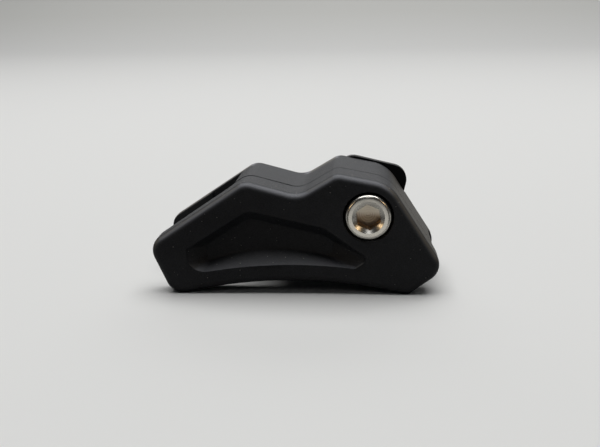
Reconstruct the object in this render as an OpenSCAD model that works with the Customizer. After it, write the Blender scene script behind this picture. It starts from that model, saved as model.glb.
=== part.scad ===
// Chain guide cage: two moulded halves clamped round the chain by one socket screw
// and a square-flanged sleeve nut. X runs along the chain, +Y away from the outer
// face, +Z up. The origin is the bottom centre of the whole guide.

/* [Side outline] */
// Left tip, distance from the middle of the guide
left_tip_x = 32.7; // [31:0.1:36]
// Left tip, height
left_tip_z = 11.1; // [9:0.1:13]
// Left crest, distance left of the middle
left_crest_x = 10.8; // [9:0.1:13]
// Left crest, height
left_crest_z = 25.5; // [24:0.1:28]
// Saddle between the crests, distance right of the middle
saddle_x = 1.0; // [-1:0.1:3]
// Saddle, height
saddle_z = 22.3; // [21:0.1:23.5]
// Right crest, distance right of the middle
right_crest_x = 9.2; // [8:0.1:11]
// Right crest, height
right_crest_z = 27.1; // [25.5:0.1:29]
// Shoulder above the screw, distance right of the middle
shoulder_x = 20.7; // [19:0.1:23]
// Shoulder, height
shoulder_z = 24.8; // [23:0.1:26]
// Right tip, distance from the middle
right_tip_x = 33.0; // [31:0.1:36]
// Right tip, height
right_tip_z = 5.6; // [4.5:0.1:7]
// Left foot, where its end line meets the table
left_foot_x = 27.8; // [26:0.1:29.5]
// Right foot, where its end line meets the table
right_foot_x = 25.1; // [23:0.1:27]
// Height of the arch between the feet
arch_rise = 2.87; // [1.8:0.01:4]
// Radius of the left tip
left_tip_r = 4; // [3.2:0.1:6]
// Radius of the left crest
left_crest_r = 4; // [3.2:0.1:6]
// Radius of the saddle
saddle_r = 5.5; // [2:0.1:7]
// Radius of the right crest
right_crest_r = 3.3; // [3.2:0.1:5]
// Radius of the shoulder
shoulder_r = 8; // [3.2:0.1:9]
// Radius of the right tip
right_tip_r = 4; // [3.2:0.1:6]
// Radius of the left foot
left_foot_r = 4; // [2:0.1:5]
// Radius of the right foot
right_foot_r = 2.2; // [2:0.1:4]
// Depth of the worn flat under each foot
foot_flat = 0.06; // [0.02:0.02:0.2]

/* [Widths] */
// Thickness of the outer wall
outer_wall = 6.7; // [5.5:0.1:9]
// Clear width of the chain channel
channel_w = 14.8; // [10:0.1:18]
// Thickness of the inner wall
inner_wall = 3.1; // [2.4:0.1:5]
// Rim that the outer half carries past its wall
rim_w = 1.7; // [1.2:0.1:3]
// Thickness of the roof over the chain
roof_t = 3; // [2:0.1:3.1]
// Radius round the outer face
edge_r = 1.6; // [0.8:0.1:1.9]
// Radius round the back face
back_edge_r = 0.5; // [0.3:0.1:1.9]

/* [Chain mouths] */
// Left end of the roof, distance left of the middle
roof_left_x = 14.0; // [12.5:0.1:16]
// Right end of the roof, height above the table
roof_end_z = 9.3; // [8:0.1:10.5]
// Radius where the roof ends run into the outer wall
mouth_r = 1.7; // [0.8:0.1:2.5]
// Flare of both walls at the left tip
flare = 1.2; // [0.4:0.1:1.8]
// Relief inside the inner wall, left end, distance left of the middle
relief_x = 21.6; // [18:0.1:24]
// Relief inside the inner wall, depth
relief_depth = 1.3; // [0.4:0.1:1.6]
// Relief, lower edge above the table
relief_z = 8.5; // [6:0.1:10]
// Wall left between the relief and the screw boss
relief_land = 3; // [1.5:0.1:6]

/* [Face recess] */
// Depth of the recess in the outer face
recess_depth = 3.0; // [1:0.1:3.6]
// Recess, upper left corner
recess_tl = [-23.8, 10.3]; // [-28:0.1:24]
// Recess, top corner under the left crest
recess_top = [-10.1, 19.0]; // [-14:0.1:22]
// Recess, bend in its upper edge
recess_bend = [6.4, 15.2]; // [0:0.1:18]
// Recess, right end
recess_tr = [16.4, 8.1]; // [5:0.1:18]
// Recess, lower right corner, distance right of the middle
recess_br_x = 13.2; // [10:0.1:15]
// Recess, lower left corner, distance left of the middle
recess_bl_x = 23.8; // [20:0.1:25]
// Land between the arch and the recess
recess_land = 4.05; // [3:0.05:5]
// Run of the recess wall along the two slopes of its upper edge
recess_top_run = 1.9; // [0.2:0.1:3]
// Run of the recess wall between the slopes
recess_level_run = 2.3; // [0.2:0.1:3]
// Run of the recess wall along the lower edge, where it is widest
recess_low_run = 3.0; // [1:0.1:4]
// Widest place of that wall, distance left of the middle
recess_low_x = 4.2; // [0:0.1:8]
// Radius of the floor's lower edge
recess_floor_r = 40; // [36:1:100]
// Run of the recess wall at the left
recess_left_run = 4.0; // [1:0.1:5]
// Run of the recess wall at the right
recess_right_run = 4.9; // [1:0.1:8]
// Radius of the recess's lower left corner
recess_bl_r = 3.6; // [1:0.1:4]

/* [Clamp screw] */
// Screw axis, distance right of the middle
screw_x = 16.1; // [15:0.1:17]
// Screw axis, height
screw_z = 17.6; // [17:0.1:18.5]
// Diameter of the screw
screw_d = 6; // [5:0.1:6.5]
// Length of the screw under its head
screw_len = 20; // [16:0.5:21]
// Diameter of the screw head
head_d = 10; // [8.5:0.1:10.5]
// Height of the screw head
head_h = 6; // [4:0.1:6]
// How far the head stands out of the outer face
head_out = 0.5; // [0:0.1:1]
// Width across the flats of the hexagon socket
socket_af = 5; // [3:0.1:5]
// Depth of the hexagon socket
socket_depth = 3.5; // [2:0.1:3.8]
// Turn of the hexagon socket from a flat-side-down pose
socket_turn = 37; // [0:1:59]
// Clearance all round the head in its counterbore
head_gap = 0.5; // [0.2:0.05:0.8]
// Clearance all round the screw in its hole
screw_gap = 0.2; // [0.1:0.05:0.4]
// Radius of the screw boss inside the channel
boss_r = 7; // [6:0.1:7.5]

/* [Clamp nut] */
// Side of the square flange
flange_w = 16.7; // [13:0.1:17]
// Corner radius of the flange
flange_r = 3.7; // [1:0.1:5]
// Thickness of the flange
flange_t = 2; // [1.2:0.1:3]
// Turn of the flange about the screw
flange_turn = 13.5; // [0:0.5:45]
// Depth of the seat that keeps the flange from turning
flange_seat = 1.0; // [0.4:0.1:1.2]
// Clearance all round the flange in its seat
flange_gap = 0.15; // [0.1:0.05:0.4]
// Diameter of the nut barrel
barrel_d = 8.4; // [7.6:0.1:9.4]
// Length of the nut barrel ahead of the flange
barrel_len = 10.5; // [8:0.1:14]
// Clearance all round the barrel in its bore
barrel_gap = 0.1; // [0.05:0.05:0.3]
// Clearance all round the screw in the nut's thread
thread_gap = 0.05; // [0.02:0.01:0.1]

/* [Locating pegs] */
// Diameter of each locating peg
peg_d = 1.5; // [1:0.1:1.8]
// Length of each locating peg
peg_len = 2; // [1:0.1:4]
// Clearance all round a peg in its socket
peg_gap = 0.1; // [0.05:0.01:0.2]

/* [Hidden] */
$fn = 64;
far = 60;

tip_l = [-left_tip_x, left_tip_z];
crest_l = [-left_crest_x, left_crest_z];
saddle = [saddle_x, saddle_z];
crest_r = [right_crest_x, right_crest_z];
shoulder = [shoulder_x, shoulder_z];
tip_r = [right_tip_x, right_tip_z];
toe_l = [-left_foot_x, 0];
toe_r = [right_foot_x, 0];

inner_face_y = outer_wall + channel_w;
parting_y = outer_wall + rim_w;
back_y = inner_face_y + inner_wall;
seat_y = head_h - head_out;
flange_y = back_y - flange_seat;
barrel_y = flange_y - barrel_len;

function unit(v) = v / norm(v);
function angle(v) = atan2(v.y, v.x);
function wrap(a) = (a + 540) % 360 - 180;
function lerp(a, b, t) = a + (b - a) * t;
function turn(a, b, c) = (b.x - a.x) * (c.y - b.y) - (b.y - a.y) * (c.x - b.x);

// Points on an arc about c, from the direction of v0 to that of v1 by the short way
function arc(c, r, v0, v1, n) = let (
    a0 = angle(v0),
    sweep = wrap(angle(v1) - a0)
) [for (i = [0:n]) c + r * [cos(a0 + sweep * i / n), sin(a0 + sweep * i / n)]];

// Centre of the fillet of radius r in the corner a-b-c
function corner_centre(a, b, c, r) = let (
    u = unit(a - b),
    w = unit(c - b)
) b + unit(u + w) * r / sin(acos(u * w) / 2);

// How far a fillet of radius r in the corner a-b-c runs along each of its sides
function fillet_run(a, b, c, r) = r / tan(acos(unit(a - b) * unit(c - b)) / 2);

// Fillet of radius r in the corner a-b-c of a clockwise outline, drawn d inside it
function fillet(a, b, c, r, d, n) = let (
    m = corner_centre(a, b, c, r),
    run = fillet_run(a, b, c, r),
    rd = turn(a, b, c) < 0 ? max(r - d, 0.1) : r + d
) arc(m, rd, b + unit(a - b) * run - m, b + unit(c - b) * run - m, n);

// Centre of a foot: a circle on the end line from tip to toe, cut by the table
function foot_centre(tip, toe, r) = let (
    u = unit(tip - toe),
    n = tip.x > 0 ? [-u.y, u.x] : [u.y, -u.x],
    s = (r - foot_flat - r * n.y) / u.y
) toe + u * s + n * r;

// The arch is the circle that touches both feet and reaches arch_rise
foot_r = foot_centre(tip_r, toe_r, right_foot_r);
foot_l = foot_centre(tip_l, toe_l, left_foot_r);
k_r = pow(arch_rise - foot_r.y, 2) - pow(right_foot_r, 2);
k_l = pow(arch_rise - foot_l.y, 2) - pow(left_foot_r, 2);
arch_x = (pow(foot_r.x, 2) - pow(foot_l.x, 2) + k_r - k_l) / (2 * (foot_r.x - foot_l.x));
arch_r = (pow(arch_x - foot_r.x, 2) + k_r) / (2 * (arch_rise + foot_flat));
arch_c = [arch_x, arch_rise - arch_r];

end_dir_r = unit(tip_r - toe_r);
end_dir_l = unit(tip_l - toe_l);

// Upper edge from the left crest to the shoulder, d inside the outline
function upper_edge(d) = concat(
    fillet(tip_l, crest_l, saddle, left_crest_r, d, 8),
    fillet(crest_l, saddle, crest_r, saddle_r, d, 8),
    fillet(saddle, crest_r, shoulder, right_crest_r, d, 7),
    fillet(crest_r, shoulder, tip_r, shoulder_r, d, 8)
);

// Arch between the feet, d inside the outline, without its two ends
function arch_edge(d) = let (
    pts = arc(arch_c, arch_r + d, foot_r - arch_c, foot_l - arch_c, 20)
) [for (i = [1:19]) pts[i]];

// Whole side outline, clockwise from the left tip, d inside it
function outline(d) = let (
    pts = concat(
        fillet(toe_l, tip_l, crest_l, left_tip_r, d, 9),
        upper_edge(d),
        fillet(shoulder, tip_r, toe_r, right_tip_r, d, 9),
        arc(foot_r, right_foot_r - d, [end_dir_r.y, -end_dir_r.x], arch_c - foot_r, 6),
        arch_edge(d),
        arc(foot_l, left_foot_r - d, arch_c - foot_l, [-end_dir_l.y, end_dir_l.x], 7)
    )
) [for (p = pts) [p.x, max(p.y, d)]];

// Solid through sections of equally many points: each is a list of [x, z] and its y
module loft(sections, ys) {
    n = len(sections[0]);
    m = len(ys);
    points = [for (j = [0:m - 1]) for (p = sections[j]) [p.x, ys[j], p.y]];
    sides = [for (j = [0:m - 2]) for (i = [0:n - 1])
        [j * n + i, (j + 1) * n + i, (j + 1) * n + (i + 1) % n, j * n + (i + 1) % n]];
    front = [for (i = [0:n - 1]) i];
    back = [for (i = [n - 1:-1:0]) (m - 1) * n + i];
    polyhedron(points = points, faces = concat([front], sides, [back]));
}

// Ring that rounds the edge of the outer face: its section is drawn in [inset, y] and
// runs a little past the face and the side, so that it crosses both cleanly
module edge_cutter(r) {
    steps = [0, 22.5, 45, 67.5, 90];
    curve = [for (s = steps) r * [1 - sin(s), 1 - cos(s)]];
    section = concat(
        [lerp(curve[1], curve[0], 1.25)],
        [for (i = [1:3]) curve[i]],
        [lerp(curve[3], curve[4], 1.25)],
        [[-1, -1]]
    );
    m = len(section);
    rings = [for (q = section) outline(q.x)];
    n = len(rings[0]);
    points = [for (j = [0:m - 1]) for (p = rings[j]) [p.x, section[j].y, p.y]];
    faces = [for (j = [0:m - 1]) for (i = [0:n - 1])
        [j * n + i, j * n + (i + 1) % n, ((j + 1) % m) * n + (i + 1) % n, ((j + 1) % m) * n + i]];
    polyhedron(points = points, faces = faces);
}

// Extrusion along +Y of a shape drawn in [x, z], from y0 to y1
module slab(y0, y1) {
    translate([0, y1, 0])
        rotate([90, 0, 0])
            linear_extrude(y1 - y0)
                children();
}

// Round bar or bore along +Y on the screw axis
module on_screw(y0, y1, r) {
    translate([screw_x, y0, screw_z])
        rotate([-90, 0, 0])
            cylinder(r = r, h = y1 - y0);
}

// Space under the roof, drawn in [x, z], open to the left and below
module under_roof() {
    slope = unit(crest_l - tip_l);
    left_in = tip_l + [slope.y, -slope.x] * roof_t - slope * far;
    drop = unit(tip_r - shoulder);
    right_in = tip_r - [-drop.y, drop.x] * roof_t;
    low = right_in - drop * (right_in.y + far) / drop.y;
    polygon(concat([left_in], upper_edge(roof_t), [low, [left_in.x, -far]]));
}

// Plan of the left mouth: rounded where the roof runs into the outer wall
module left_mouth() {
    x1 = -roof_left_x;
    y0 = outer_wall;
    union() {
        translate([x1 - far, y0])
            square([far - mouth_r, channel_w]);
        translate([x1 - far, y0 + mouth_r])
            square([far, channel_w - mouth_r]);
        translate([x1 - mouth_r, y0 + mouth_r])
            circle(r = mouth_r);
    }
}

// Section of the right mouth in [y, z], rounded in the same way
module right_mouth() {
    z1 = roof_end_z;
    y0 = outer_wall;
    union() {
        translate([y0, z1 - far])
            square([channel_w, far - mouth_r]);
        translate([y0 + mouth_r, z1 - far])
            square([channel_w - mouth_r, far]);
        translate([y0 + mouth_r, z1 - mouth_r])
            circle(r = mouth_r);
    }
}

// Chain channel with both of its mouths and the flare at the left tip
module channel() {
    slab(outer_wall, inner_face_y)
        under_roof();
    translate([0, 0, -1])
        linear_extrude(far)
            left_mouth();
    translate([saddle_x, 0, 0])
        rotate([90, 0, 90])
            linear_extrude(far)
                right_mouth();
    translate([0, 0, -1])
        linear_extrude(far)
            polygon([
                [-roof_left_x - mouth_r, outer_wall],
                [-left_tip_x, outer_wall - flare],
                [-left_tip_x - 1, outer_wall - flare],
                [-left_tip_x - 1, inner_face_y + flare],
                [-left_tip_x, inner_face_y + flare],
                [-relief_x, inner_face_y]
            ]);
}

// Locating points in the middle of the roof's thickness, as [x, z]
peg_left = corner_centre(tip_l, crest_l, saddle, left_crest_r) + [0, left_crest_r - roof_t / 2];
drop_dir = unit(tip_r - shoulder);
peg_right = lerp(shoulder, tip_r, 0.55) + [drop_dir.y, -drop_dir.x] * roof_t / 2;

// Both pegs or, with a gap, both of their sockets
module pegs(y0, y1, gap) {
    for (p = [peg_left, peg_right])
        translate([p.x, y0, p.y])
            rotate([-90, 0, 0])
                cylinder(d = peg_d + 2 * gap, h = y1 - y0);
}

// Line a-b moved d to its right, and the point where two lines meet
function shift_line(a, b, d) = let (u = unit(b - a), n = [u.y, -u.x]) [a + n * d, b + n * d];
function meet(l, m) = let (
    p = l[0],
    r = l[1] - l[0],
    q = m[0],
    s = m[1] - m[0],
    k = ((q.x - p.x) * s.y - (q.y - p.y) * s.x) / (r.x * s.y - r.y * s.x)
) p + r * k;
function arch_z(x, d) = arch_c.y + sqrt(pow(arch_r + d, 2) - pow(x - arch_c.x, 2));

recess_br = [recess_br_x, arch_z(recess_br_x, recess_land)];
recess_bl = [-recess_bl_x, arch_z(-recess_bl_x, recess_land)];

// Lower edge of the recess: beside the arch at the face, a tighter arc at the floor
function floor_z(x) = arch_z(-recess_low_x, recess_land) + recess_low_run - recess_floor_r
    + sqrt(pow(recess_floor_r, 2) - pow(x + recess_low_x, 2));
function recess_low(x, t) = lerp(arch_z(x, recess_land), floor_z(x), t);

// Outline of the face recess, whose walls have run in by the share t
function recess_section(t) = let (
    left = shift_line(recess_bl, recess_tl, recess_left_run * t),
    rise = shift_line(recess_tl, recess_top, recess_top_run * t),
    level = shift_line(recess_top, recess_bend, recess_level_run * t),
    fall = shift_line(recess_bend, recess_tr, recess_top_run * t),
    floor_right = recess_br_x - recess_right_run,
    a = meet(left, rise),
    b = meet(rise, level),
    c = meet(level, fall),
    d_x = lerp(recess_tr.x, floor_right, t),
    d = meet(fall, [[d_x, 0], [d_x, 1]]),
    e_x = lerp(recess_br_x, floor_right, t),
    e = [e_x, recess_low(e_x, t)],
    f = [left[0].x, recess_low(left[0].x, t)],
    g = e - [1, recess_low(e.x, t) - recess_low(e.x - 1, t)],
    h = f + [1, recess_low(f.x + 1, t) - recess_low(f.x, t)],
    end_r = min(1.3, 0.4 * norm(d - e)),
    foot_r = lerp(recess_bl_r, 0.8, t),
    low_from = e.x - fillet_run(d, e, g, end_r) - 0.1,
    low_to = f.x + fillet_run(h, f, a, foot_r) + 0.1
) concat(
    fillet(f, a, b, 1.0, 0, 5),
    fillet(a, b, c, 3.6, 0, 6),
    fillet(b, c, d, 4.0, 0, 6),
    fillet(c, d, e, end_r, 0, 6),
    fillet(d, e, g, end_r, 0, 5),
    [for (i = [0:14]) let (x = lerp(low_from, low_to, i / 14)) [x, recess_low(x, t)]],
    fillet(h, f, a, foot_r, 0, 6)
);

// Recess with straight sloping walls all round and a flat floor
module face_recess() {
    loft([recess_section(0), recess_section(0), recess_section(1)], [-1, 0, recess_depth]);
}

// Outer half: outer wall with its recess, half of the roof, half of the screw boss
module outer_cage() {
    color("#3a3b3d")
    difference() {
        union() {
            difference() {
                slab(0, parting_y)
                    polygon(outline(0));
                edge_cutter(edge_r);
                channel();
            }
            on_screw(outer_wall - 1, parting_y, boss_r);
            pegs(parting_y - 1, parting_y + peg_len, 0);
        }
        face_recess();
        on_screw(-1, seat_y, head_d / 2 + head_gap);
        on_screw(-1, parting_y + 1, screw_d / 2 + screw_gap);
    }
}

// Relief in the inner wall: it runs under the roof and out through the upper edge
module wall_relief() {
    corner = [-relief_x, relief_z];
    slab(inner_face_y - 1, inner_face_y + relief_depth)
        union() {
            intersection() {
                under_roof();
                translate(corner)
                    square([screw_x - boss_r - relief_land + relief_x, far]);
            }
            translate(corner)
                square([relief_x - roof_left_x, far]);
        }
}

// Inner half: inner wall, the rest of the roof, and the boss that holds the nut
module inner_cage() {
    color("#3a3b3d")
    difference() {
        union() {
            difference() {
                slab(parting_y, back_y)
                    polygon(outline(0));
                translate([0, back_y, 0])
                    mirror([0, 1, 0])
                        edge_cutter(back_edge_r);
                channel();
                wall_relief();
            }
            on_screw(parting_y, inner_face_y + 1, boss_r);
        }
        on_screw(parting_y - 1, back_y + 1, screw_d / 2 + screw_gap);
        on_screw(barrel_y - 0.5, back_y + 1, barrel_d / 2 + barrel_gap);
        slab(flange_y, back_y + 1)
            flange_shape(flange_gap);
        pegs(parting_y - 1, parting_y + peg_len + 0.3, peg_gap);
    }
}

// Socket head cap screw, its head sunk into the outer face
module clamp_screw() {
    r = head_d / 2;
    crown = 0.8;
    tip = 0.7;
    drill = socket_af / 2 / tan(59);
    color("#c9c6c1")
    translate([screw_x, -head_out, screw_z])
        rotate([-90, 0, 0])
            difference() {
                rotate_extrude()
                    polygon(concat(
                        [[0, 0]],
                        [for (a = [0:15:90]) [r - crown + crown * sin(a), crown - crown * cos(a)]],
                        [
                            [r, head_h - 0.2],
                            [r - 0.2, head_h],
                            [screw_d / 2, head_h],
                            [screw_d / 2, head_h + screw_len - tip],
                            [screw_d / 2 - tip, head_h + screw_len],
                            [0, head_h + screw_len]
                        ]
                    ));
                rotate(socket_turn)
                    translate([0, 0, -1])
                        cylinder(r = socket_af / sqrt(3), h = socket_depth + 1, $fn = 6);
                translate([0, 0, socket_depth - 0.01])
                    cylinder(r1 = socket_af / 2, r2 = 0.05, h = drill);
                translate([0, 0, -0.01])
                    cylinder(r1 = socket_af / sqrt(3) + 0.65, r2 = socket_af / 2 - 0.15, h = 0.65);
            }
}

// Rounded square of the flange, drawn in [x, z] and grown by a gap
module flange_shape(gap) {
    half = flange_w / 2 - flange_r;
    side = flange_w + 2 * gap;
    translate([screw_x, screw_z])
        rotate(-flange_turn)
            union() {
                square([side, 2 * half], center = true);
                square([2 * half, side], center = true);
                for (sx = [-1, 1], sz = [-1, 1])
                    translate([sx * half, sz * half])
                        circle(r = flange_r + gap);
            }
}

// Square-flanged sleeve nut: the flange bears in its seat, the barrel fills the boss
module clamp_nut() {
    color("#1d1e20")
    difference() {
        union() {
            slab(flange_y, flange_y + flange_t)
                flange_shape(0);
            on_screw(barrel_y, flange_y + flange_t / 2, barrel_d / 2);
        }
        on_screw(barrel_y - 1, flange_y + flange_t + 1, screw_d / 2 + thread_gap);
    }
}

// Bottom centre of the whole guide, from the tips, the head and the flange
end_l = corner_centre(toe_l, tip_l, crest_l, left_tip_r).x - left_tip_r;
end_r = corner_centre(shoulder, tip_r, toe_r, right_tip_r).x + right_tip_r;
mid = [(end_l + end_r) / 2, (max(back_y, flange_y + flange_t) - head_out) / 2, 0];

translate(-mid) outer_cage();
translate(-mid) inner_cage();
translate(-mid) clamp_screw();
translate(-mid) clamp_nut();
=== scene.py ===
import math

import bmesh
import bpy
import numpy as np
from mathutils import Matrix, Vector


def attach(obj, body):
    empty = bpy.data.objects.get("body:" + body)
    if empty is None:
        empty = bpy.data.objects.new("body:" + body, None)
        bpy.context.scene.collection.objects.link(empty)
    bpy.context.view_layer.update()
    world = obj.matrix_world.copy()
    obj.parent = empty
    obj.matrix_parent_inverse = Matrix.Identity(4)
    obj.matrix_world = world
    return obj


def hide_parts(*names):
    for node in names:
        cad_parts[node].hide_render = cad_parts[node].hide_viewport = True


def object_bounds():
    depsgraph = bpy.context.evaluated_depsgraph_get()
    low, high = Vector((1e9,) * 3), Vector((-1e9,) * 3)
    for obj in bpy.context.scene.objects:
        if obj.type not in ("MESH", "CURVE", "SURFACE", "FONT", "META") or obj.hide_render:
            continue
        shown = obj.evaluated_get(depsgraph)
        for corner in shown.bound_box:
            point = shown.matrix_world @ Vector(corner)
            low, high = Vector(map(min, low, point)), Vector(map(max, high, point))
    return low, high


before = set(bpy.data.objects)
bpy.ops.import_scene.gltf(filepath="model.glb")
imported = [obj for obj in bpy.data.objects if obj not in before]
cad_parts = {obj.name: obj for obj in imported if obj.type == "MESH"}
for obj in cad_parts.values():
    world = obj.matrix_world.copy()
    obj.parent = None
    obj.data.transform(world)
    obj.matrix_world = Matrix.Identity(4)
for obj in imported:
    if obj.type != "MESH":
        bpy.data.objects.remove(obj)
lo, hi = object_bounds()

# Cage: two mouldings of dark glass-filled nylon that meet in a parting line and bridge
# the chain. Both follow one side outline of straight lines and arcs, given here in
# millimetres as (x, z), with y counted from the outer face backwards.
mm = 0.001
left_tip, left_crest, saddle = (-32.7, 11.1), (-10.8, 25.5), (1.0, 22.3)
right_crest, shoulder, right_tip = (9.2, 27.1), (20.7, 24.8), (33.0, 5.6)
left_toe, right_toe = (-27.8, 0.0), (25.1, 0.0)
left_foot_r, right_foot_r, foot_flat, arch_rise = 4.0, 2.2, 0.06, 2.87
outer_wall, channel_w, inner_wall, rim_w, roof_t = 6.7, 14.8, 3.1, 1.7, 3.0
edge_r, back_edge_r, lip_r = 1.6, 0.5, 0.12
roof_left_x, roof_end_z, mouth_r, flare, relief_x = 14.0, 9.3, 1.7, 1.2, 21.6
screw_x, screw_z, boss_r = 16.1, 17.6, 7.0
far = 60.0

inner_face_y = outer_wall + channel_w
parting_y = outer_wall + rim_w
back_y = inner_face_y + inner_wall


def unit(v):
    return v / np.linalg.norm(v)


def arc(centre, r, start, end, step=0.22, count=None):
    """Points round centre from direction start to direction end, the short way."""
    a0, a1 = math.atan2(start[1], start[0]), math.atan2(end[1], end[0])
    around = (a1 - a0 + math.pi) % (2 * math.pi) - math.pi
    count = count or max(8, int(abs(around) * (max(r, 1.0) + 1) / step))
    angles = a0 + around * np.linspace(0, 1, count + 1)
    return [centre + r * np.array((math.cos(a), math.sin(a))) for a in angles]


def corner(a, b, c, r):
    """Centre of the fillet in the corner a-b-c, and the directions of its two ends."""
    a, b, c = map(np.asarray, (a, b, c))
    u, w = unit(a - b), unit(c - b)
    half = math.acos(u @ w) / 2
    centre = b + unit(u + w) * r / math.sin(half)
    reach = r / math.tan(half)
    return centre, b + u * reach - centre, b + w * reach - centre


def scaled_arc(centre, r, new_r, start, end):
    """An arc of radius new_r with as many points as the arc of radius r."""
    return [centre + (p - centre) / r * new_r for p in arc(centre, r, start, end)]


def fillet(a, b, c, r, d):
    """The round in the corner a-b-c, d inside the wall, for a bulge or a hollow."""
    bulges = (b[0] - a[0]) * (c[1] - b[1]) - (b[1] - a[1]) * (c[0] - b[0]) < 0
    centre, start, end = corner(a, b, c, r)
    return scaled_arc(centre, r, max(r - d, 0.1) if bulges else r + d, start, end)


def foot_centre(tip, toe, r):
    """Centre of a rounded foot that runs out of the end wall, and the way out of it."""
    u = unit(np.subtract(tip, toe))
    n = np.array((-u[1], u[0])) if tip[0] > 0 else np.array((u[1], -u[0]))
    return np.asarray(toe) + u * (r - foot_flat - r * n[1]) / u[1] + n * r, -n


foot_right, toe_out_right = foot_centre(right_tip, right_toe, right_foot_r)
foot_left, toe_out_left = foot_centre(left_tip, left_toe, left_foot_r)
k_right = (arch_rise - foot_right[1]) ** 2 - right_foot_r**2
k_left = (arch_rise - foot_left[1]) ** 2 - left_foot_r**2
feet_apart = foot_right[0] - foot_left[0]
arch_x = (foot_right[0] ** 2 - foot_left[0] ** 2 + k_right - k_left) / (2 * feet_apart)
arch_r = ((arch_x - foot_right[0]) ** 2 + k_right) / (2 * (arch_rise + foot_flat))
arch_centre = np.array((arch_x, arch_rise - arch_r))

left_crest_r, saddle_r, right_crest_r, shoulder_r, tip_r = 4.0, 5.5, 3.3, 8.0, 4.0


def upper_edge(d):
    return (
        fillet(left_tip, left_crest, saddle, left_crest_r, d)
        + fillet(left_crest, saddle, right_crest, saddle_r, d)
        + fillet(saddle, right_crest, shoulder, right_crest_r, d)
        + fillet(right_crest, shoulder, right_tip, shoulder_r, d)
    )


def outline(d):
    """The cage's side outline as (x, z) in millimetres, clockwise, d inside the wall."""
    over_right, over_left = arch_centre - foot_right, arch_centre - foot_left
    points = fillet(left_toe, left_tip, left_crest, tip_r, d) + upper_edge(d)
    points += fillet(shoulder, right_tip, right_toe, tip_r, d)
    points += scaled_arc(foot_right, right_foot_r, right_foot_r - d, toe_out_right, over_right)
    points += scaled_arc(arch_centre, arch_r, arch_r + d, -over_right, -over_left)[1:-1]
    points += scaled_arc(foot_left, left_foot_r, left_foot_r - d, over_left, toe_out_left)
    return np.array([(p[0], max(p[1], d)) for p in points])


# A fine groove marks the parting line; it is open left of the saddle and all but closed
# to the right of it.
seam_bevel, seam_closed = 0.16, 0.03
seam_closed_x, seam_open_x = 2.0, -4.0


def seam(d):
    plain, inset = outline(0), outline(d)
    share = (seam_closed_x - plain[:, 0]) / (seam_closed_x - seam_open_x)
    return plain + (inset - plain) * np.clip(share, seam_closed, 1)[:, None]


head_out = 0.5
shift = Vector((lo.x / mm - outline(0)[:, 0].min(), lo.y / mm + head_out, 0))


def solid(name, points, faces):
    """A closed mesh object from points in the cage's own millimetres."""
    mesh = bpy.data.meshes.new(name)
    mesh.from_pydata([(Vector(p) + shift) * mm for p in points], [], faces)
    form = bmesh.new()
    form.from_mesh(mesh)
    bmesh.ops.recalc_face_normals(form, faces=form.faces)
    form.to_mesh(mesh)
    form.free()
    shape = bpy.data.objects.new(name, mesh)
    bpy.context.collection.objects.link(shape)
    return shape


def loft(name, rings, ys):
    """Skin through rings of equally many (x, z) points, each at its own depth."""
    n = len(rings[0])
    points = [(x, y, z) for ring, y in zip(rings, ys) for x, z in ring]
    faces = []
    for start in range(0, len(points) - n, n):
        for i in range(n):
            after = (i + 1) % n
            faces.append((start + i, start + n + i, start + n + after, start + after))
    faces += [tuple(range(n)), tuple(range(len(points) - 1, len(points) - 1 - n, -1))]
    return solid(name, points, faces)


def prism(name, drawing, low, high, axis):
    """A drawing extruded along an axis: (x, z) along y, (x, y) along z, (y, z) along x."""
    n = len(drawing)
    points = []
    for t in (low, high):
        for u, v in drawing:
            points.append({"x": (t, u, v), "y": (u, t, v), "z": (u, v, t)}[axis])
    faces = [(i, (i + 1) % n, n + (i + 1) % n, n + i) for i in range(n)]
    return solid(name, points, faces + [tuple(range(n)), tuple(range(n, 2 * n))])


def turned_solid(name, sections, count=96):
    """A body turned about the screw axis from (depth, radius) pairs."""
    rings = []
    for _, r in sections:
        angles = [2 * math.pi * k / count for k in range(count)]
        rings.append([(screw_x + r * math.cos(a), screw_z + r * math.sin(a)) for a in angles])
    return loft(name, rings, [y for y, _ in sections])


def carve(body, tools, operation="DIFFERENCE"):
    """Joins or cuts with each tool in turn, and deletes the tools."""
    for tool in tools:
        step = body.modifiers.new("carve", "BOOLEAN")
        step.operation, step.object, step.solver = operation, tool, "EXACT"
        carved = body.evaluated_get(bpy.context.evaluated_depsgraph_get())
        baked = bpy.data.meshes.new_from_object(carved)
        body.modifiers.clear()
        body.data = baked
        bpy.data.objects.remove(tool)
    return body


def soften(body, width, sharper=38):
    """Rounds every edge that is still sharp, then shades with the true face normals."""
    form = bmesh.new()
    form.from_mesh(body.data)
    bmesh.ops.remove_doubles(form, verts=form.verts, dist=0.002 * mm)
    bmesh.ops.dissolve_degenerate(form, edges=form.edges, dist=0.001 * mm)
    limit = math.radians(sharper)
    sharp = [e for e in form.edges if len(e.link_faces) == 2 and e.calc_face_angle() > limit]
    bmesh.ops.bevel(
        form, geom=sharp, offset=width * mm, segments=3, profile=0.5, affect="EDGES", clamp_overlap=False
    )
    bmesh.ops.recalc_face_normals(form, faces=form.faces)
    form.to_mesh(body.data)
    form.free()
    body.data.shade_smooth()
    body.data.set_sharp_from_angle(angle=math.radians(35))
    body.modifiers.new("true_normals", "WEIGHTED_NORMAL").keep_sharp = True
    return body


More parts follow.
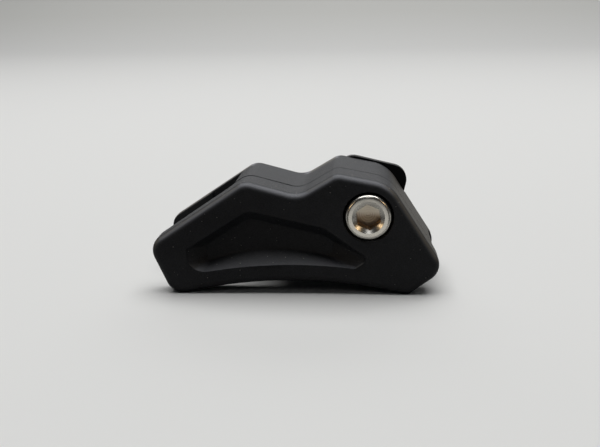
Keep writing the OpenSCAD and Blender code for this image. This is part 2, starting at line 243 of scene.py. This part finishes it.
def channel_tools():
    """The cutters of the chain channel: under the roof, both mouths and the left flare."""
    slope = unit(np.subtract(left_crest, left_tip))
    left_in = np.array(left_tip) + np.array((slope[1], -slope[0])) * roof_t - slope * far
    drop = unit(np.subtract(right_tip, shoulder))
    right_in = np.array(right_tip) - np.array((-drop[1], drop[0])) * roof_t
    low = right_in - drop * (right_in[1] + far) / drop[1]
    under_roof = [left_in, *upper_edge(roof_t), low, (left_in[0], -far)]
    x1, y0, y1, z1 = -roof_left_x, outer_wall, inner_face_y, roof_end_z
    fine_step = 0.12
    left_round = arc(np.array((x1 - mouth_r, y0 + mouth_r)), mouth_r, (0, -1), (1, 0), fine_step)
    right_round = arc(np.array((y0 + mouth_r, z1 - mouth_r)), mouth_r, (0, 1), (-1, 0), fine_step)
    left_mouth = [(x1 - far, y0), *left_round, (x1, y1), (x1 - far, y1)]
    right_mouth = [(y1, z1), *right_round, (y0, z1 - far), (y1, z1 - far)]
    tip_x = left_tip[0]
    mouth_flare = [(x1 - mouth_r, y0), (tip_x, y0 - flare), (tip_x - 1, y0 - flare)]
    mouth_flare += [(tip_x - 1, y1 + flare), (tip_x, y1 + flare), (-relief_x, y1)]
    return [
        prism("under_roof", under_roof, y0, y1, "y"),
        prism("left_mouth", left_mouth, -1, far, "z"),
        prism("right_mouth", right_mouth, saddle[0], far, "x"),
        prism("mouth_flare", mouth_flare, -1, far, "z"),
    ]


quarter = np.radians(np.arange(0, 90.1, 7.5))
edge_break = 0.3

# Outer half: the thick wall with its recessed face, the near strip of the roof and
# the near end of the screw boss. Moulded in one piece; the screw clamps it.
recess_depth, recess_land = 3.0, 4.05
recess_tl, recess_top, recess_bend, recess_tr = (-23.8, 10.3), (-10.1, 19.0), (6.4, 15.2), (16.4, 8.1)
recess_br_x, recess_bl_x = 13.2, -23.8
top_run, level_run, low_run, left_run, right_run = 1.9, 2.3, 3.0, 4.0, 4.9
recess_low_x, recess_floor_r, recess_bl_r, floor_bl_r = -4.2, 40.0, 3.6, 0.8
recess_tl_r, recess_top_r, recess_bend_r, recess_end_r = 1.0, 3.6, 4.0, 1.3
head_d, head_gap, seat_y, hole_r = 10.0, 0.5, 5.5, 3.2


def arch_z(x, d):
    """Height of the arch between the feet, d inside the wall."""
    return arch_centre[1] + math.sqrt((arch_r + d) ** 2 - (x - arch_centre[0]) ** 2)


def side_line(a, b, d):
    """The line a-b moved d to its right."""
    a, b = np.asarray(a), np.asarray(b)
    u = unit(b - a)
    n = np.array((u[1], -u[0]))
    return a + n * d, b + n * d


def meet(first, second):
    """Where two lines cross, each given by two points."""
    p, r = first[0], first[1] - first[0]
    q, s = second[0], second[1] - second[0]
    k = ((q[0] - p[0]) * s[1] - (q[1] - p[1]) * s[0]) / (r[0] * s[1] - r[1] * s[0])
    return p + r * k


def recess_low(x, t):
    """Lower edge of the recess: beside the arch at the face, a tighter arc at the floor."""
    crown = arch_z(recess_low_x, recess_land) + low_run - recess_floor_r
    floor_z = crown + math.sqrt(recess_floor_r**2 - (x - recess_low_x) ** 2)
    return arch_z(x, recess_land) * (1 - t) + floor_z * t


def fillet_run(a, b, c, r):
    """How far a fillet runs along each side of its corner."""
    u, w = unit(np.subtract(a, b)), unit(np.subtract(c, b))
    return r / math.tan(math.acos(u @ w) / 2)


def even_fillet(a, b, c, r, count):
    """The round in the corner a-b-c in count steps, whatever its radius."""
    centre, start, end = corner(a, b, c, r)
    return arc(centre, r, start, end, count=count)


def recess_ring(t, grown=0.0):
    """The recess outline: its walls have run in by the share t; grown widens the rim."""
    recess_bl, left_top = np.array((recess_bl_x, 0.0)), np.array(recess_tl)
    left = side_line(recess_bl, left_top, left_run * t - grown)
    rise = side_line(recess_tl, recess_top, top_run * t - grown)
    between = side_line(recess_top, recess_bend, level_run * t - grown)
    fall = side_line(recess_bend, recess_tr, top_run * t - grown)
    floor_right = recess_br_x - right_run
    a, b, c = meet(left, rise), meet(rise, between), meet(between, fall)
    d_x = recess_tr[0] * (1 - t) + floor_right * t + grown
    d = meet(fall, (np.array((d_x, 0.0)), np.array((d_x, 1.0))))
    e_x = recess_br_x * (1 - t) + floor_right * t + 0.5 * grown
    f_x = left[0][0]
    e, f = np.array((e_x, recess_low(e_x, t) - grown)), np.array((f_x, recess_low(f_x, t) - grown))
    g = e - (1, recess_low(e_x, t) - recess_low(e_x - 1, t))
    h = f + (1, recess_low(f_x + 1, t) - recess_low(f_x, t))
    end_r = min(recess_end_r, 0.4 * np.linalg.norm(d - e)) + grown
    foot_r = recess_bl_r * (1 - t) + floor_bl_r * t + grown
    low_from = e_x - fillet_run(d, e, g, end_r) - 0.1
    low_to = f_x + fillet_run(h, f, a, foot_r) + 0.1
    points = even_fillet(f, a, b, recess_tl_r + grown, 12)
    points += even_fillet(a, b, c, recess_top_r + grown, 14)
    points += even_fillet(b, c, d, recess_bend_r + grown, 14)
    points += even_fillet(c, d, e, end_r, 14) + even_fillet(d, e, g, end_r, 12)
    points += [np.array((x, recess_low(x, t) - grown)) for x in np.linspace(low_from, low_to, 40)]
    return points + even_fillet(h, f, a, foot_r, 14)


outer_cage = loft(
    "outer_cage_shell",
    [outline(edge_r * (1 - math.sin(a))) for a in quarter] + [outline(0), seam(seam_bevel)],
    [edge_r * (1 - math.cos(a)) for a in quarter] + [parting_y - seam_bevel, parting_y],
)
lip = [(lip_r * (1 - math.sin(a)), lip_r * (1 - math.cos(a))) for a in quarter[::2]]
floor_steps = [0.35, 0.7, 0.97, 1.0]
recess_rings = [recess_ring(0, lip_r)] + [recess_ring(0, g) for g, _ in lip]
recess_rings += [recess_ring(t) for t in floor_steps]
recess_ys = [-1.0] + [y for _, y in lip] + [lip_r + (recess_depth - lip_r) * t for t in floor_steps]
recess_tool = loft("recess_tool", recess_rings, recess_ys)
bore_r = head_d / 2 + head_gap
bore_lip = [(y, bore_r + g) for g, y in lip]
bore_tool = turned_solid("bore_tool", [(-1, bore_r + lip_r), *bore_lip, (seat_y, bore_r)])
carve(outer_cage, channel_tools())
near_boss = turned_solid("near_boss", [(outer_wall - 1, boss_r), (parting_y, boss_r)])
carve(outer_cage, [near_boss], "UNION")
near_hole = turned_solid("near_hole", [(-1, hole_r), (parting_y + 1, hole_r)])
carve(outer_cage, [recess_tool, bore_tool, near_hole])
soften(outer_cage, edge_break)

# Inner half: the thin wall behind the chain, the rest of the roof, and the boss that
# takes the nut's barrel and flange. Moulded in one piece, relieved inside its wall.
relief_z, relief_depth, relief_land = 8.5, 1.3, 3.0
barrel_d, barrel_len, barrel_gap = 8.4, 10.5, 0.1
flange_w, flange_r, flange_t, flange_turn = 16.7, 3.7, 2.0, 13.5
flange_seat, flange_gap = 1.0, 0.15
flange_y = back_y - flange_seat


def flange_ring(d):
    """The flange's rounded square as (x, z), d inside its edge."""
    half = flange_w / 2 - flange_r
    turn = math.radians(-flange_turn)
    points = []
    for k, (x, z) in enumerate([(-half, half), (half, half), (half, -half), (-half, -half)]):
        start = math.radians(180 - 90 * k)
        for a in np.linspace(start, start - math.pi / 2, 13):
            points.append((x + (flange_r - d) * math.cos(a), z + (flange_r - d) * math.sin(a)))
    cos, sin = math.cos(turn), math.sin(turn)
    return [(screw_x + x * cos - z * sin, screw_z + x * sin + z * cos) for x, z in points]


inner_cage = loft(
    "inner_cage_shell",
    [seam(seam_bevel), outline(0)] + [outline(back_edge_r * (1 - math.cos(a))) for a in quarter],
    [parting_y, parting_y + seam_bevel] + [back_y - back_edge_r * (1 - math.sin(a)) for a in quarter],
)
carve(inner_cage, channel_tools())
relief_right = screw_x - boss_r - relief_land
inset_roof = [p for p in upper_edge(roof_t) if p[0] < relief_right]
relief_slope = unit(np.subtract(left_crest, left_tip))
relief_start = inset_roof[0] - relief_slope * ((inset_roof[0][0] + roof_left_x) / relief_slope[0])
relief_drawing = [(-relief_x, relief_z), (-relief_x, 30), (-roof_left_x, 30), tuple(relief_start)]
relief_drawing += [tuple(p) for p in inset_roof]
relief_drawing += [(relief_right, inset_roof[-1][1]), (relief_right, relief_z)]
relief_floor = inner_face_y + relief_depth
carve(inner_cage, [prism("relief_tool", relief_drawing, inner_face_y - 1, relief_floor, "y")])
far_boss = turned_solid("far_boss", [(parting_y, boss_r), (inner_face_y + 1, boss_r)])
carve(inner_cage, [far_boss], "UNION")
barrel_y = flange_y - barrel_len
barrel_bore_r = barrel_d / 2 + barrel_gap
carve(
    inner_cage,
    [
        turned_solid("far_hole", [(parting_y - 1, hole_r), (back_y + 1, hole_r)]),
        turned_solid("barrel_bore", [(barrel_y - 0.5, barrel_bore_r), (back_y + 1, barrel_bore_r)]),
        prism("flange_seat", flange_ring(-flange_gap), flange_y, back_y + 1, "y"),
    ],
)
soften(inner_cage, edge_break)


# Nylon of both halves: dark and fine-grained as it leaves the mould, with pale specks of glass
# filler. Painted light on top: a painted highlight with some real wear along the upward-facing
# outer edge, and painted light on the recess's lower ramp, the right slope and the far rim.
class Wire:
    """An output socket of a node tree; sums and products of wires become Math nodes."""

    def __init__(self, tree, socket):
        self.tree, self.socket = tree, socket

    def node(self, kind, settings=None, inputs=None):
        """Any other node: its settings first, then values or wires for its inputs."""
        made = self.tree.nodes.new(kind)
        for name, value in (settings or {}).items():
            setattr(made, name, value)
        for name, value in (inputs or {}).items():
            self.plug(made.inputs[name], value)
        return made

    def plug(self, socket, value):
        if isinstance(value, Wire):
            self.tree.links.new(value.socket, socket)
        else:
            socket.default_value = value

    def out(self, made, name=0):
        return Wire(self.tree, made.outputs[name])

    def math(self, operation, *terms, clamp=False):
        settings = {"operation": operation, "use_clamp": clamp}
        return self.out(self.node("ShaderNodeMath", settings, dict(enumerate(terms))))

    def __add__(self, other):
        return self.math("ADD", self, other)

    def __sub__(self, other):
        return self.math("SUBTRACT", self, other)

    def __rsub__(self, other):
        return self.math("SUBTRACT", other, self)

    def __mul__(self, other):
        return self.math("MULTIPLY", self, other)

    def __truediv__(self, other):
        return self.math("DIVIDE", self, other)

    def __rtruediv__(self, other):
        return self.math("DIVIDE", other, self)

    __radd__, __rmul__ = __add__, __mul__

    def between(self, low, high):
        """0 up to low, 1 from high, and a straight run in between."""
        return self.math("DIVIDE", self - low, high - low, clamp=True)

    def blend(self, first, second):
        """The first colour where the wire is 0, the second where it is 1."""
        colours = {0: self, 6: first, 7: second}
        return self.out(self.node("ShaderNodeMix", {"data_type": "RGBA"}, colours), 2)

    def parts(self):
        """The x, y and z of a vector."""
        made = self.node("ShaderNodeSeparateXYZ", {}, {0: self})
        return [self.out(made, k) for k in range(3)]

    def noise(self, scale, detail=3.0, roughness=0.6):
        """A soft random pattern at these coordinates."""
        inputs = {"Vector": self, "Scale": scale, "Detail": detail, "Roughness": roughness}
        return self.out(self.node("ShaderNodeTexNoise", {}, inputs))

    def bump(self, strength, reach):
        """The wire as a relief on the surface, for a Normal socket."""
        inputs = {"Strength": strength, "Distance": reach, "Height": self}
        return self.out(self.node("ShaderNodeBump", {}, inputs))


def new_finish(name):
    """A material, a wire on its object coordinates, and its Principled node."""
    finish = bpy.data.materials.new(name)
    finish.use_nodes = True
    tree = finish.node_tree
    coordinates = tree.nodes.new("ShaderNodeTexCoord").outputs["Object"]
    return finish, Wire(tree, coordinates), tree.nodes["Principled BSDF"]


nylon_dark, nylon_pale = (0.011, 0.0125, 0.016, 1), (0.039, 0.041, 0.046, 1)
# Colours of the painted light: a pale grey where a surface faces up, a brown where it faces sideways.
lit_crest_grey, lit_slope_brown = (0.205, 0.210, 0.228, 1), (0.145, 0.131, 0.108, 1)
speck_grey = (0.36, 0.34, 0.31, 1)
cloud_scale, grain_scale, speck_scale, grain_height = 160.0, 3600.0, 1500.0, 0.0001
# Band of the painted edge highlight, measured back from the outer face.
highlight_full, highlight_fade, highlight_end = 0.35 * mm, 0.65 * mm, 1.15 * mm
above_recess, beside_recess, recess_mid_x = 11.5 * mm, 20.2 * mm, -5.0 * mm
ramp_light_share, slope_light_share = 0.4, 0.5

nylon, at, skin = new_finish("filled_nylon")
cloud, grain = at.noise(cloud_scale), at.noise(grain_scale, 3.0, 0.65)
tone = cloud.between(0.35, 0.65) * 0.3 + grain.between(0.35, 0.65) * 0.7
filler = at.node("ShaderNodeTexVoronoi", {}, {"Vector": at, "Scale": speck_scale})
pick = at.out(at.node("ShaderNodeSeparateColor", {}, {0: at.out(filler, "Color")}))
speck = (1 - at.out(filler, "Distance").between(0.12, 0.20)) * pick.between(0.90, 0.97)

to_face = at.node("ShaderNodeMapping", {}, {"Vector": at, "Location": shift * -mm})
along, depth, height = at.out(to_face).parts()
rightwards, _, upwards = at.out(at.node("ShaderNodeNewGeometry"), "Normal").parts()
# Painted highlight along the outer edge fillets where they face up, with some real wear mixed in; kept
# off the recess.
on_edge = depth.between(0, highlight_full) * (1 - depth.between(highlight_fade, highlight_end))
past_ends = at.math("ABSOLUTE", along - recess_mid_x).between(beside_recess, beside_recess + 0.8 * mm)
higher = height.between(above_recess, above_recess + 1 * mm)
clear_of_recess = at.math("MAXIMUM", higher, past_ends)
wear_and_highlight = on_edge * upwards.between(0.05, 0.45) * clear_of_recess * (0.8 + grain * 0.4)
# Painted light on the upward-facing lower ramp of the recess, where the overhead lamp reaches in.
recess_ramp = (1 - clear_of_recess) * (1 - depth.between(0, 2.8 * mm))
ramp_light = recess_ramp * upwards.between(0.3, 0.7) * ramp_light_share
# Painted light on the right slope, which faces the light; it takes the brown used for sideways surfaces.
right_slope = rightwards.between(0.6, 0.8) * upwards.between(0.2, 0.5)
slope_light = right_slope * depth.between(1.0 * mm, 1.6 * mm) * slope_light_share
# Painted light on the upward-facing top of the far wall's rim.
far_wall = depth.between((inner_face_y - 0.2) * mm, inner_face_y * mm)
far_rim_light = far_wall * upwards.between(0.2, 0.5) * (1 - rightwards.between(-0.3, -0.1))
sideways = at.math("ABSOLUTE", rightwards)
edge_tone = sideways.between(0.30, 0.55).blend(lit_crest_grey, lit_slope_brown)
# Everything painted lighter: the painted highlight and painted light above, with the real edge wear.
light_and_wear = wear_and_highlight + ramp_light + slope_light + far_rim_light
colour = speck.blend(light_and_wear.blend(tone.blend(nylon_dark, nylon_pale), edge_tone), speck_grey)
at.plug(skin.inputs["Base Color"], colour)
at.plug(skin.inputs["Roughness"], 0.42 + grain * 0.16 + cloud * 0.06)
at.plug(skin.inputs["Normal"], grain.bump(1.0, grain_height))
skin.inputs["IOR"].default_value = 1.45
for half in (outer_cage, inner_cage):
    half.data.materials.clear()
    half.data.materials.append(nylon)
    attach(half, "root")
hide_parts("outer_cage")
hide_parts("inner_cage")

# Clamp screw: a turned stainless M6 cap screw with a rolled thread. Its head stands half
# a millimetre out of the counterbore, with a chamfered hexagon socket and a turned,
# slightly conical bottom. It draws the halves together.
head_h, screw_d, screw_len = 6.0, 6.0, 20.0
socket_af, socket_depth, socket_turn, floor_cone = 5.0, 3.5, 37, 81
crown_r, tip_cone = 0.8, 0.7
head_y = -head_out
crown = []
for a in quarter:
    crown.append((head_y + crown_r * (1 - math.cos(a)), head_d / 2 - crown_r * (1 - math.sin(a))))
thread_pitch, thread_ridge = 1.0, 0.48
core_r = screw_d / 2 - thread_ridge
under_head, screw_end = head_y + head_h, head_y + head_h + screw_len
shank = [(under_head - 0.2, head_d / 2), (under_head, head_d / 2 - 0.2), (under_head, core_r)]
shank += [(screw_end - tip_cone, core_r), (screw_end, core_r - tip_cone)]
screw = turned_solid("clamp_screw_body", crown + shank, count=128)


def socket_ring(r=None, count=96):
    """A circle, or the hexagon where no radius is given, as points round the axis."""
    ring = []
    for turn in range(0, -360 * count, -360):
        off_flat = math.radians(turn / count % 60 - 30)
        a = math.radians(socket_turn + turn / count)
        reach = socket_af / 2 / math.cos(off_flat) if r is None else r
        ring.append((screw_x + reach * math.cos(a), screw_z + reach * math.sin(a)))
    return ring


drill_r = socket_af / 2 - 0.04
floor_y = head_y + socket_depth
cone_slope = 1 / math.tan(math.radians(floor_cone))
cone = [(drill_r - r, r) for r in (2.0, 1.5, 1.0, 0.5, 0.03)]
socket_tool = loft(
    "socket_tool",
    [socket_ring(), socket_ring(), socket_ring(drill_r)] + [socket_ring(r) for _, r in cone],
    [head_y - 1, floor_y, floor_y] + [floor_y + run * cone_slope for run, _ in cone],
)
chamfer_wide, chamfer_narrow = 3.9, 2.35
chamfer = [(head_y - 0.2, chamfer_wide), (head_y + 0.65, chamfer_narrow)]
carve(screw, [socket_tool, turned_solid("chamfer_tool", chamfer, count=128)])
screw.data.shade_smooth()
screw.data.set_sharp_from_angle(angle=math.radians(25))

# The socket's colours are painted light: its walls are dark near the mouth as painted shade and brown
# deeper down as painted reflection; its floor is a painted reflection, brown on the lower half and warm
# and bright on the upper half.
steel_bright, socket_floor_lit = (0.90, 0.87, 0.80, 1), (0.95, 0.86, 0.72, 1)
socket_reflection_brown, socket_wall_shade = (0.66, 0.50, 0.34, 1), (0.12, 0.08, 0.05, 1)
scratch_scale, turning_marks, turning_height = 2600.0, 13000.0, 0.00003

steel, at, skin = new_finish("turned_steel")
axis_at = (shift + Vector((screw_x, 0, screw_z))) * -mm
on_axis = at.node("ShaderNodeMapping", {}, {"Vector": at, "Location": axis_at})
across, deep_in, up = at.out(on_axis).parts()
radius = at.math("SQRT", across * across + up * up)
turning = at.math("SINE", radius * turning_marks)
scratch = at.noise(scratch_scale, 4.0)
sunk = deep_in.between((head_y + 0.2) * mm, (head_y + 1.5) * mm)
in_socket = sunk * (1 - radius.between(2.9 * mm, 3.1 * mm))
above_floor = 1 - deep_in.between((floor_y - 0.06) * mm, floor_y * mm)
on_wall = in_socket * radius.between(2.44 * mm, 2.50 * mm) * above_floor
# Painted shade on the socket walls going to a painted brown reflection deeper in; painted reflection on
# the floor, brown below and bright above.
wall_depth = deep_in.between((head_y + 0.9) * mm, (head_y + 1.7) * mm)
wall_tone = wall_depth.blend(socket_wall_shade, socket_reflection_brown)
floor_tone = up.between(-0.7 * mm, 0.5 * mm).blend(socket_reflection_brown, socket_floor_lit)
colour = on_wall.blend(in_socket.blend(steel_bright, floor_tone), wall_tone)
at.plug(skin.inputs["Base Color"], colour)
at.plug(skin.inputs["Roughness"], 0.24 + scratch * 0.05 + in_socket * 0.04)
relief = turning * (in_socket * 2.5 + 0.10)
at.plug(skin.inputs["Normal"], relief.bump(0.25, turning_height))
skin.inputs["Metallic"].default_value = 1.0

thread_start, thread_short = 0.6, 1.6
spiral_tree = bpy.data.node_groups.new("rolled_thread", "GeometryNodeTree")
for label in ("Core radius", "Pitch", "Length", "Ridge"):
    spiral_tree.interface.new_socket(label, in_out="INPUT", socket_type="NodeSocketFloat")
spiral_tree.interface.new_socket("Geometry", in_out="OUTPUT", socket_type="NodeSocketGeometry")
given = spiral_tree.nodes.new("NodeGroupInput")
core, pitch, length, ridge = (Wire(spiral_tree, given.outputs[k]) for k in range(4))
helix = {"Rotations": length / pitch, "Start Radius": core, "End Radius": core, "Height": length}
turns = core.node("GeometryNodeCurveSpiral", {}, {"Resolution": 40, **helix})
upright = core.node("GeometryNodeSetCurveNormal", {"mode": "Z_UP"}, {"Curve": core.out(turns)})
diamond = core.node("GeometryNodeCurvePrimitiveCircle", {}, {"Resolution": 4, "Radius": ridge})
sweep_inputs = {"Curve": core.out(upright), "Profile Curve": core.out(diamond), "Fill Caps": True}
swept = core.node("GeometryNodeCurveToMesh", {}, sweep_inputs)
thread_at = (shift + Vector((screw_x, under_head + thread_start, screw_z))) * mm
along_screw = {"Translation": thread_at, "Rotation": (-math.pi / 2, 0, 0)}
laid = core.node("GeometryNodeTransform", {}, {"Geometry": core.out(swept), **along_screw})
real = core.node("GeometryNodeRealizeInstances", {}, {"Geometry": core.out(laid)})
coated = core.node("GeometryNodeSetMaterial", {}, {"Geometry": core.out(real), "Material": steel})
core.node("NodeGroupOutput", {}, {0: core.out(coated)})

thread = bpy.data.objects.new("screw_thread", bpy.data.meshes.new("screw_thread"))
bpy.context.collection.objects.link(thread)
winding = thread.modifiers.new("winding", "NODES")
winding.node_group = spiral_tree
sizes = {"Core radius": core_r, "Pitch": thread_pitch, "Ridge": thread_ridge}
sizes["Length"] = screw_len - thread_short
for socket in spiral_tree.interface.items_tree:
    if socket.in_out == "INPUT":
        winding[socket.identifier] = sizes[socket.name] * mm
evaluated = thread.evaluated_get(bpy.context.evaluated_depsgraph_get())
wound = bpy.data.meshes.new_from_object(evaluated)
thread.modifiers.clear()
thread.data = wound
form = bmesh.new()
form.from_mesh(wound)
bmesh.ops.recalc_face_normals(form, faces=form.faces)
form.to_mesh(wound)
form.free()
screw.data.materials.clear()
screw.data.materials.append(steel)
for piece in (screw, thread):
    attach(piece, "root")
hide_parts("clamp_screw")

# Clamp nut: black anodised aluminium, with a rounded square flange let into the back of
# the cage, so that it can't turn, and a barrel inside the boss that takes the screw.
flange_edge, flange_break = 0.35, 0.1
nut_end = flange_y + flange_t
flange_rings, flange_ys = [flange_ring(flange_break), flange_ring(0)], [flange_y, flange_y + flange_break]
for a in quarter[::2]:
    flange_rings.append(flange_ring(flange_edge * (1 - math.cos(a))))
    flange_ys.append(nut_end - flange_edge * (1 - math.sin(a)))
nut = loft("clamp_nut_body", flange_rings, flange_ys)
barrel = [(barrel_y, barrel_d / 2 - 0.3), (barrel_y + 0.3, barrel_d / 2), (flange_y + 1, barrel_d / 2)]
carve(nut, [turned_solid("barrel", barrel)], "UNION")
nut_bore_r, nut_lead_in = 3.05, 0.5
bore = [(barrel_y - 1, nut_bore_r), (nut_end - 0.4, nut_bore_r)]
bore += [(nut_end + 0.1, nut_bore_r + nut_lead_in), (nut_end + 1, nut_bore_r + nut_lead_in)]
carve(nut, [turned_solid("nut_bore", bore)])
soften(nut, 0.08, 32)

black_deep, black_haze = (0.0030, 0.0034, 0.0040, 1), (0.0060, 0.0064, 0.0070, 1)
black, at, skin = new_finish("black_anodise")
haze = at.noise(900.0)
at.plug(skin.inputs["Base Color"], haze.blend(black_deep, black_haze))
at.plug(skin.inputs["Roughness"], 0.30 + haze * 0.15)
at.plug(skin.inputs["Normal"], haze.bump(0.15, 0.00003))
skin.inputs["IOR"].default_value = 1.33
nut.data.materials.clear()
nut.data.materials.append(black)
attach(nut, "root")
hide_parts("clamp_nut")

# Paper sweep: pale, seamless, under and behind the guide. What the guide mirrors of it is a painted
# reflection: darker in front, paler behind, and a pale card before the screw that is only painted
# into the reflection; to diffuse bounce light the paper is nearly black, which paints shade on the guide.
floor_grey, wall_grey = (0.82, 0.82, 0.805, 1), (0.78, 0.78, 0.75, 1)
# Painted shade: the paper as diffuse bounce rays see it, nearly black.
bounce_grey = (0.045, 0.046, 0.048, 1)
mirror_pale, mirror_dark = (0.36, 0.36, 0.35, 1), (0.02, 0.021, 0.023, 1)
mirror_card, mirror_behind = (0.66, 0.65, 0.62, 1), (0.95, 0.93, 0.88, 1)
sweep_front, sweep_bend, sweep_top, sweep_half = -1.2, 1.0, 1.9, 2.6
bend_r = 0.55

profile = [(sweep_front, 0.0), (-0.3, 0.0), (0.3, 0.0), (sweep_bend, 0.0)]
for a in np.radians(range(6, 91, 6)):
    profile.append((sweep_bend + bend_r * math.sin(a), bend_r * (1 - math.cos(a))))
profile.append((sweep_bend + bend_r, sweep_top))
sweep_mesh = bpy.data.meshes.new("sweep")
sweep_mesh.from_pydata(
    [(x, y, z) for y, z in profile for x in (-sweep_half, sweep_half)],
    [],
    [(2 * k, 2 * k + 1, 2 * k + 3, 2 * k + 2) for k in range(len(profile) - 1)],
)
sweep_mesh.shade_smooth()
sweep = bpy.data.objects.new("sweep", sweep_mesh)
bpy.context.collection.objects.link(sweep)
paper, at, skin = new_finish("sweep_paper")
sidewards, away, rise = at.parts()
beside_screw = at.math("ABSOLUTE", sidewards - (screw_x + shift.x) * mm)
# Painted reflection of a pale card before the screw; no card is in the scene.
card_reflection_band = away.between(-0.15, -0.11) * (1 - away.between(-0.045, -0.035))
card_reflection = (1 - beside_screw.between(0.017, 0.026)) * card_reflection_band
behind = away.between(0.02, 0.06) * (1 - rise.between(0.0, 0.05))
off_centre = at.math("ABSOLUTE", sidewards) + away * 0.6
front = (1 - away.between(-0.05, -0.02)) * (1 - off_centre.between(0.04, 0.08))
light_path = at.node("ShaderNodeLightPath")
seen, mirrored = at.out(light_path, "Is Camera Ray"), at.out(light_path, "Is Glossy Ray")
far_mirror = front.blend(behind.blend(mirror_pale, mirror_behind), mirror_dark)
unseen = mirrored.blend(bounce_grey, card_reflection.blend(far_mirror, mirror_card))
backdrop = rise.between(0.0, 0.05).blend(floor_grey, wall_grey)
at.plug(skin.inputs["Base Color"], seen.blend(unseen, backdrop))
skin.inputs["Roughness"].default_value = 0.9
skin.inputs["Specular IOR Level"].default_value = 0.0
sweep_mesh.materials.append(paper)


# Lamps: a wide soft one overhead, a long one behind that lights the rise of the sweep and
# the slopes, a weak one in front, and two small warm ones that only glint in the screw.
def soft_lamp(name, place, aim, width, height, watts, tint=(1, 1, 1)):
    lamp = bpy.data.lights.new(name, "AREA")
    lamp.shape, lamp.size, lamp.size_y = "RECTANGLE", width, height
    lamp.energy, lamp.color = watts, tint
    holder = bpy.data.objects.new(name, lamp)
    holder.location = place
    holder.rotation_euler = (Vector(aim) - Vector(place)).to_track_quat("-Z", "Y").to_euler()
    bpy.context.collection.objects.link(holder)
    return holder


soft_lamp("overhead_lamp", (0, 0.15, 1.1), (0, 0, 0), 1.3, 1.1, 12.8)
soft_lamp("rear_lamp", (0, 1.4, 0.75), (0, 0, 0), 1.8, 0.5, 5)
soft_lamp("front_glint", (0, -0.6, 0.56), (0, 0, 0.017), 0.2, 0.2, 0.15)
warm = (1.0, 0.72, 0.42)
for name, place in (("warm_right", (0.51, -0.53, 0.33)), ("warm_left", (-0.58, -0.53, 0.24))):
    glint = soft_lamp(name, place, (0, 0, 0.017), 0.14, 0.14, 0.20, warm)
    glint.visible_diffuse = False

room = bpy.data.worlds.new("room")
bpy.context.scene.world = room
room.use_nodes = True
room_light = room.node_tree.nodes["Background"].inputs
room_light["Color"].default_value = (0.75, 0.87, 1, 1)
room_light["Strength"].default_value = 0.015

# Camera: stands a little above the guide and looks at its outer face. Its place and
# turn come from the feet, the crests and the parting line in the photograph.
focal_px, picture_width_px = 850, 600
camera_place = (Vector((14.25, -177.58, 62.04)) + shift) * mm
camera_down, camera_side, camera_roll = 0.2518, -0.0725, 0.0162

reach = math.cos(camera_down)
ahead = Vector((math.sin(camera_side) * reach, math.cos(camera_side) * reach, -math.sin(camera_down)))
level = Vector((math.cos(camera_side), -math.sin(camera_side), 0))
below = ahead.cross(level)
right = level * math.cos(camera_roll) + below * math.sin(camera_roll)
above = level * math.sin(camera_roll) - below * math.cos(camera_roll)
turned = Matrix((right, above, -ahead)).transposed().to_4x4()
turned.translation = camera_place
eye = bpy.data.cameras.new("eye")
eye.lens = focal_px / picture_width_px * eye.sensor_width
eye.clip_start = 0.01
camera = bpy.data.objects.new("eye", eye)
camera.matrix_world = turned
bpy.context.collection.objects.link(camera)
bpy.context.scene.camera = camera

# Picture settings.
bpy.context.scene.view_settings.view_transform = "Standard"
